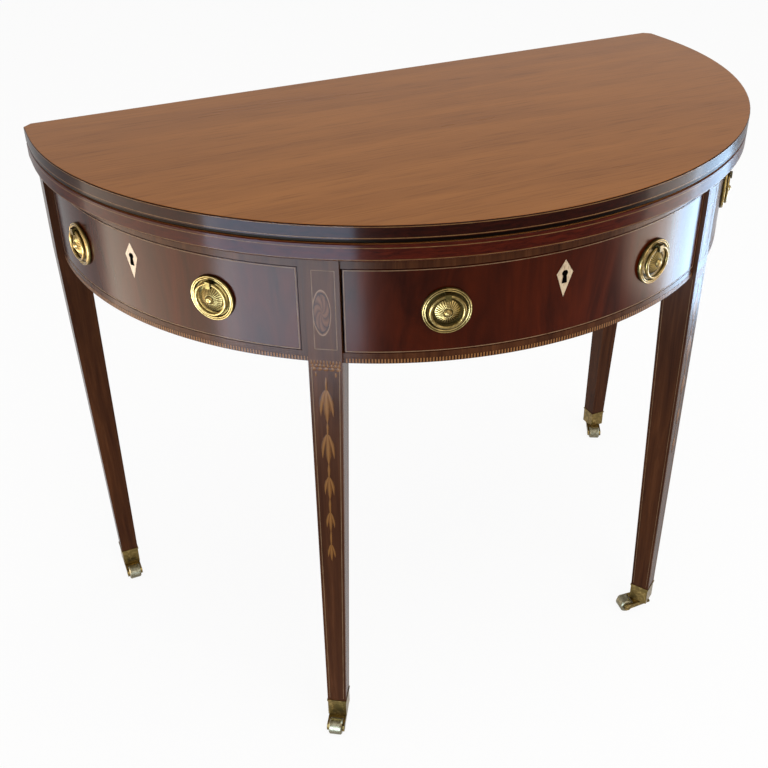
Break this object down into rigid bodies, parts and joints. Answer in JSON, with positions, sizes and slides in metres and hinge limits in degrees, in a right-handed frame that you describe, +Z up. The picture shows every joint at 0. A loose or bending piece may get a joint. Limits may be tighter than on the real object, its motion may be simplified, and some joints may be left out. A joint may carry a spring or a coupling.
{
  "type": "demilune fold-over table",
  "caption": "Half-round mahogany table with a fold-over top, frieze drawer, ring handles, swinging rear gate legs and tapered inlaid legs on brass castors.",
  "frame": {"origin": "on the floor below the middle of the bounding box", "axes": "+X along the straight back edge towards the right as seen from the front, +Y towards the straight back, +Z up"},
  "size_m": [0.914, 0.5024, 0.712],
  "materials": {
    "top_mahogany": "polished",
    "mahogany": "polished",
    "secondary_wood": "unfinished",
    "brass": "aged",
    "iron": "dull",
    "bone": "satin"
  },
  "bodies": {
    "carcase": {"back_rail": "secondary_wood", "bottom_rail": "mahogany", "castor_cup_front_left": "brass", "castor_cup_front_right": "brass", "drawer_runners": "secondary_wood", "dummy_front_left": "mahogany", "dummy_front_right": "mahogany", "escutcheon_left": "bone", "escutcheon_right": "bone", "frieze_left": "mahogany", "frieze_right": "mahogany", "front_leg_left": "mahogany", "front_leg_right": "mahogany", "handle_nuts_frieze": "brass", "handle_plates_left": "brass", "handle_plates_right": "brass", "knuckle_pins": "iron", "knuckle_rail": "secondary_wood", "lower_leaf": "top_mahogany", "top_hinge_lower_plates": "brass", "top_hinge_lower_screws": "iron", "top_hinge_pins": "brass", "top_rail": "mahogany"},
    "folding_leaf": {"upper_leaf": "top_mahogany", "top_hinge_upper_plates": "brass", "top_hinge_upper_screws": "iron"},
    "gate_left": {"fly_rail_left": "secondary_wood", "rear_leg_left": "mahogany", "castor_cup_rear_left": "brass"},
    "gate_right": {"fly_rail_right": "secondary_wood", "rear_leg_right": "mahogany", "castor_cup_rear_right": "brass"},
    "drawer": {"drawer_front": "mahogany", "drawer_side_left": "secondary_wood", "drawer_side_right": "secondary_wood", "drawer_back": "secondary_wood", "drawer_bottom": "secondary_wood", "drawer_lock": "iron", "escutcheon_drawer": "bone", "handle_plates_drawer": "brass", "handle_nuts_drawer": "brass"},
    "ring_left_outer": {"handle_ring_left_outer": "brass"},
    "ring_left_inner": {"handle_ring_left_inner": "brass"},
    "ring_right_outer": {"handle_ring_right_outer": "brass"},
    "ring_right_inner": {"handle_ring_right_inner": "brass"},
    "ring_drawer_left": {"handle_ring_drawer_left": "brass"},
    "ring_drawer_right": {"handle_ring_drawer_right": "brass"},
    "castor_front_left": {"castor_fork_front_left": "brass", "castor_axle_front_left": "brass"},
    "wheel_front_left": {"castor_wheel_front_left": "brass"},
    "castor_front_right": {"castor_fork_front_right": "brass", "castor_axle_front_right": "brass"},
    "wheel_front_right": {"castor_wheel_front_right": "brass"},
    "castor_rear_left": {"castor_fork_rear_left": "brass", "castor_axle_rear_left": "brass"},
    "wheel_rear_left": {"castor_wheel_rear_left": "brass"},
    "castor_rear_right": {"castor_fork_rear_right": "brass", "castor_axle_rear_right": "brass"},
    "wheel_rear_right": {"castor_wheel_rear_right": "brass"}
  },
  "joints": [
    {"name": "leaf_fold", "type": "hinge", "parent": "carcase", "child": "folding_leaf", "pos_m": [0, 0.24875, 0.6931], "axis": [-1, 0, 0], "range_deg": [0, 180]},
    {"name": "gate_left_swing", "type": "hinge", "parent": "carcase", "child": "gate_left", "pos_m": [-0.06, 0.22375, 0.626], "axis": [0, 0, -1], "range_deg": [0, 90]},
    {"name": "gate_right_swing", "type": "hinge", "parent": "carcase", "child": "gate_right", "pos_m": [0.06, 0.22375, 0.626], "axis": [0, 0, 1], "range_deg": [0, 90]},
    {"name": "drawer_slide", "type": "slide", "parent": "carcase", "child": "drawer", "axis": [0, -1, 0], "range_m": [0, 0.22]},
    {"name": "ring_left_outer_lift", "type": "hinge", "parent": "carcase", "child": "ring_left_outer", "pos_m": [-0.43357, 0.10293, 0.6274], "axis": [-0.2307, 0.973, 0], "range_deg": [0, 85]},
    {"name": "ring_left_inner_lift", "type": "hinge", "parent": "carcase", "child": "ring_left_inner", "pos_m": [-0.33145, -0.09207, 0.6274], "axis": [-0.6684, 0.7438, 0], "range_deg": [0, 85]},
    {"name": "ring_right_outer_lift", "type": "hinge", "parent": "carcase", "child": "ring_right_outer", "pos_m": [0.43357, 0.10293, 0.6274], "axis": [-0.2307, -0.973, 0], "range_deg": [0, 85]},
    {"name": "ring_right_inner_lift", "type": "hinge", "parent": "carcase", "child": "ring_right_inner", "pos_m": [0.33145, -0.09207, 0.6274], "axis": [-0.6684, -0.7438, 0], "range_deg": [0, 85]},
    {"name": "ring_drawer_left_lift", "type": "hinge", "parent": "drawer", "child": "ring_drawer_left", "pos_m": [-0.12581, -0.22172, 0.6274], "axis": [-0.9593, 0.2823, 0], "range_deg": [0, 85]},
    {"name": "ring_drawer_right_lift", "type": "hinge", "parent": "drawer", "child": "ring_drawer_right", "pos_m": [0.12581, -0.22172, 0.6274], "axis": [-0.9593, -0.2823, 0], "range_deg": [0, 85]},
    {"name": "castor_front_left_swivel", "type": "hinge", "parent": "carcase", "child": "castor_front_left", "pos_m": [-0.23672, -0.15597, 0.016], "axis": [0, 0, 1], "continuous": true},
    {"name": "wheel_front_left_roll", "type": "hinge", "parent": "castor_front_left", "child": "wheel_front_left", "pos_m": [-0.24997, -0.17717, 0.0095], "axis": [0.848, -0.5299, 0], "continuous": true},
    {"name": "castor_front_right_swivel", "type": "hinge", "parent": "carcase", "child": "castor_front_right", "pos_m": [0.23672, -0.15597, 0.016], "axis": [0, 0, 1], "continuous": true},
    {"name": "wheel_front_right_roll", "type": "hinge", "parent": "castor_front_right", "child": "wheel_front_right", "pos_m": [0.21196, -0.15249, 0.0095], "axis": [-0.1392, -0.9903, 0], "continuous": true},
    {"name": "castor_rear_left_swivel", "type": "hinge", "parent": "gate_left", "child": "castor_rear_left", "pos_m": [-0.42475, 0.236, 0.016], "axis": [0, 0, 1], "continuous": true},
    {"name": "wheel_rear_left_roll", "type": "hinge", "parent": "castor_rear_left", "child": "wheel_rear_left", "pos_m": [-0.42475, 0.211, 0.0095], "axis": [1, 0, 0], "continuous": true},
    {"name": "castor_rear_right_swivel", "type": "hinge", "parent": "gate_right", "child": "castor_rear_right", "pos_m": [0.42475, 0.236, 0.016], "axis": [0, 0, 1], "continuous": true},
    {"name": "wheel_rear_right_roll", "type": "hinge", "parent": "castor_rear_right", "child": "wheel_rear_right", "pos_m": [0.41301, 0.21393, 0.0095], "axis": [0.8829, -0.4695, 0], "continuous": true}
  ]
}
